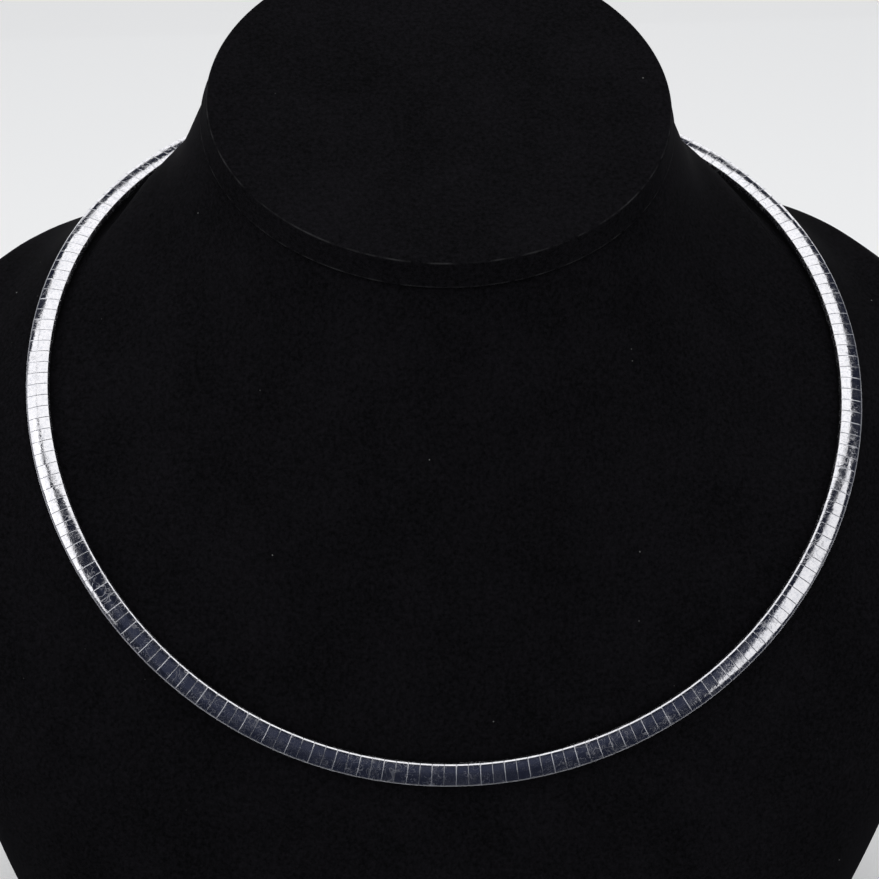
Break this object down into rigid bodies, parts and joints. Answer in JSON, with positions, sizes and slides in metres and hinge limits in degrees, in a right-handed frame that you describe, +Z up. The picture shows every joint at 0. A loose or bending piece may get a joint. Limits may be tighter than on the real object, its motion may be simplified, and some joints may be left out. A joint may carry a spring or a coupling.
{
  "type": "omega necklace on a neck bust",
  "caption": "Domed metal plates set side by side on a woven core make a stiff round collar, shown on the plain velvet neck bust that holds it.",
  "frame": {"origin": "centre of the bust's base, on the surface it stands on", "axes": "+Z up, -Y the way the wearer faces, +X to the right of the front view"},
  "size_m": [0.199, 0.1296, 0.1869],
  "materials": {
    "silver": "polished, finely scratched",
    "woven_core": "woven wire",
    "velvet": "short pile velvet"
  },
  "bodies": {
    "root": {"plates_left": "silver", "plates_right": "silver", "mesh_core": "woven_core", "box_clasp": "silver", "neck_cap": "velvet", "bust_body": "velvet"}
  },
  "joints": []
}
